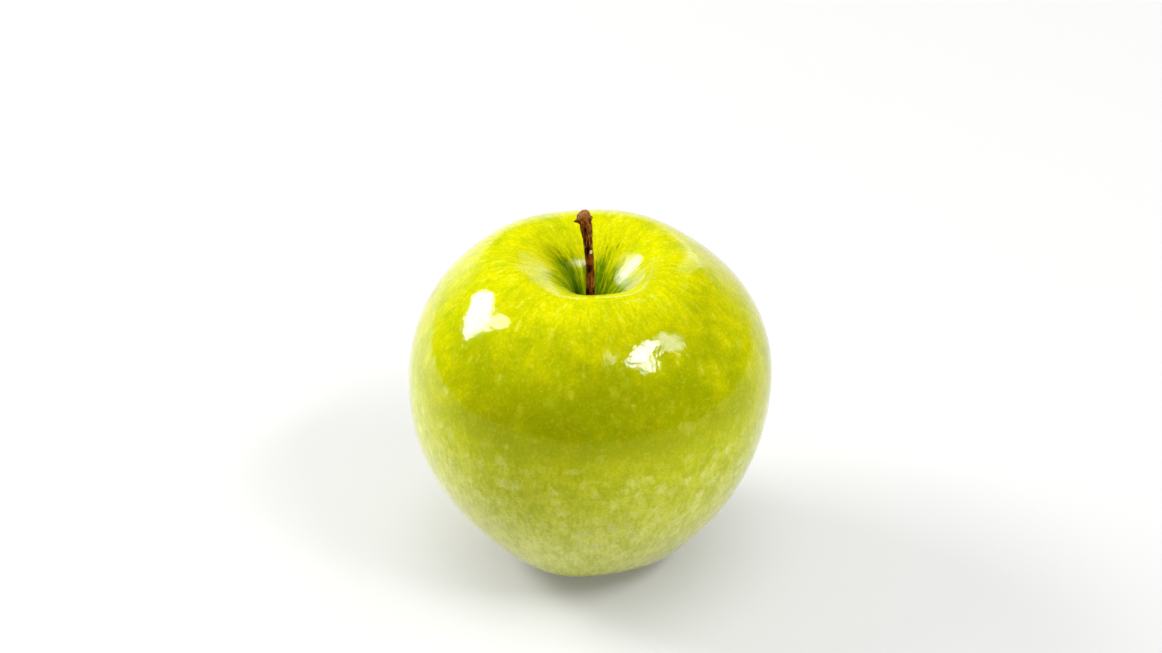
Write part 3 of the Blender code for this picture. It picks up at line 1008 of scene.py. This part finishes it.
tuft_pieces = [extrude_levels(CUSHION_LEVELS, CUSHION_SIDES, "cushion")]
for number in range(THREADS):
    angle = math.tau * (number * GOLDEN_TURN % 1)
    foot = TUFT_RADIUS * math.sqrt((number + 0.5) / THREADS) * 0.8
    lean = random.uniform(-0.1, 0.32)
    tip = TUFT_TIP + random.uniform(0.0, 1.5)
    levels = []
    for step in range(5):
        along = step / 4
        reach = foot + lean * along + 0.06 * math.sin(5 * along + number)
        bend = angle + 0.5 * along * random.uniform(-1, 1)
        height = tip + (TUFT_FOOT - tip) * along
        thickness = THREAD_RADIUS * (0.8 + 0.4 * along)
        levels.append((reach * math.cos(bend), reach * math.sin(bend), height, thickness))
    tuft_pieces.append(extrude_levels(levels, THREAD_SIDES, "thread"))
    if number % 3 != 1:
        x, y, z, radius = levels[0]
        deselect_all()
        bpy.ops.mesh.primitive_ico_sphere_add(subdivisions=2, radius=ANTHER_RADIUS * MM,
                                              location=Vector((x, y, z)) * MM, scale=(1, 0.7, 1.3))
        bpy.ops.object.transform_apply(location=True, rotation=True, scale=True)
        tuft_pieces.append(bpy.context.object)
deselect_all()
for piece in tuft_pieces:
    piece.select_set(True)
bpy.context.view_layer.objects.active = tuft_pieces[0]
bpy.ops.object.join()
tuft = bpy.context.object
tuft.name = "calyx_stamens"
for vertex in tuft.data.vertices:
    vertex.co += Vector((*shift.xy, 0))
tuft.data.shade_smooth()
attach(tuft, "root")
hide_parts("withered_stamens")
print("stamens:", len(tuft.data.polygons), "faces,", size_in_mm(tuft), "mm")

# %% [markdown]
# ## Bark and dry leaf
#
# The stem's bark is red-brown, darker in its furrows, with tan scales that have lifted and
# caught the light, and one cream scar where a bud sat. Between the scar and the scaly foot a
# length of it is smooth and dark. The calyx is the same kind of dead tissue, brown with greyer
# blotches and dark fibres. Both are dull, so they have a high roughness and real relief.

# %% Bark
BARK_BROWN = (0.200, 0.075, 0.032)
BARK_DARK = (0.030, 0.011, 0.006)
BARK_RED = (0.340, 0.135, 0.048)
BARK_TAN = (0.520, 0.300, 0.150)
SCAR_CREAM = (0.86, 0.74, 0.52)
SCAR_PLACE = Vector((0.30, -0.42, 71.6))
SCAR_RADIUS = 0.66
SMOOTH_LENGTH = (66.8, 70.6)
BARK_RELIEF = 0.22

bark = bpy.data.materials.new("stem_bark")
bark.use_nodes = True
tree = bark.node_tree
dull = tree.nodes["Principled BSDF"]
spot = add_node(tree, "TexCoord", {}).outputs["Object"]
height = maths(tree, "DIVIDE", add_node(tree, "SeparateXYZ", {0: spot}).outputs["Z"], MM)
furrows = use_group(tree, streaks, Place=spot, Across=0.30, Along=3.2)["Value"]
scales = use_group(tree, patches, Place=spot, Size=0.42, Detail=2.0)["Value"]
tint = use_group(tree, patches, Place=spot, Size=2.2, Detail=1.0)["Value"]
colour = mixed(tree, remap(tree, furrows, 0.36, 0.58), BARK_DARK, BARK_BROWN)
colour = mixed(tree, remap(tree, tint, 0.42, 0.66, 0.0, 0.7), colour, BARK_RED)
rough_part = maths(tree, "SUBTRACT", 1.0, maths(
    tree, "MULTIPLY",
    remap(tree, height, SMOOTH_LENGTH[0] - 0.8, SMOOTH_LENGTH[0] + 0.4),
    remap(tree, height, SMOOTH_LENGTH[1] + 0.4, SMOOTH_LENGTH[1] - 0.4),
))
flakes = use_group(tree, streaks, Place=spot, Across=0.20, Along=1.0)["Value"]
flecks = added(tree, flakes, (furrows, 0.45))
flecks = maths(tree, "MULTIPLY", remap(tree, flecks, 0.68, 0.98), rough_part)
colour = mixed(tree, maths(tree, "MULTIPLY", flecks, 0.85), colour, BARK_TAN)
from_scar = add_node(tree, "VectorMath", {0: spot, 1: SCAR_PLACE * MM}, operation="DISTANCE")
from_scar = added(tree, from_scar.outputs["Value"], (scales, 0.5 * MM))
scar = remap(tree, from_scar, (SCAR_RADIUS + 0.19) * MM, SCAR_RADIUS * MM)
colour = mixed(tree, scar, colour, SCAR_CREAM)
relief = added(tree, furrows, (scales, 1.0), (flecks, 0.5))
bumps = add_node(tree, "Bump", {"Height": relief, "Distance": BARK_RELIEF * MM})
tree.links.new(colour, dull.inputs["Base Color"])
tree.links.new(remap(tree, furrows, 0.3, 0.7, 0.85, 0.6), dull.inputs["Roughness"])
tree.links.new(bumps.outputs["Normal"], dull.inputs["Normal"])
stem.data.materials.append(bark)
print("bark:", len(tree.nodes), "nodes")

# %% Dry leaf
CALYX_BROWN = (0.110, 0.062, 0.030)
CALYX_GREY = (0.270, 0.215, 0.140)
CALYX_DARK = (0.030, 0.018, 0.010)
CALYX_GREEN = (0.200, 0.210, 0.060)
CALYX_RELIEF = 0.15

leaf = bpy.data.materials.new("dry_calyx")
leaf.use_nodes = True
tree = leaf.node_tree
dull = tree.nodes["Principled BSDF"]
spot = add_node(tree, "TexCoord", {}).outputs["Object"]
height = maths(tree, "DIVIDE", add_node(tree, "SeparateXYZ", {0: spot}).outputs["Z"], MM)
blotches = use_group(tree, patches, Place=spot, Size=1.3, Detail=3.0)["Value"]
fibres = use_group(tree, streaks, Place=spot, Across=0.22, Along=1.4)["Value"]
colour = mixed(tree, remap(tree, blotches, 0.38, 0.62), CALYX_BROWN, CALYX_GREY)
colour = mixed(tree, remap(tree, fibres, 0.56, 0.42, 0.0, 0.7), colour, CALYX_DARK)
foot = added(tree, height, (blotches, 1.5))
colour = mixed(tree, remap(tree, foot, 5.6, 7.2, 0.0, 0.6), colour, CALYX_GREEN)
relief = maths(tree, "ADD", fibres, blotches)
bumps = add_node(tree, "Bump", {"Height": relief, "Distance": CALYX_RELIEF * MM})
tree.links.new(colour, dull.inputs["Base Color"])
tree.links.new(remap(tree, blotches, 0.3, 0.7, 0.9, 0.7), dull.inputs["Roughness"])
tree.links.new(bumps.outputs["Normal"], dull.inputs["Normal"])
for piece in bpy.data.objects:
    if piece.name.startswith("calyx_"):
        piece.data.materials.clear()
        piece.data.materials.append(leaf)
print("finishes:", [material.name for material in (skin, bark, leaf)])
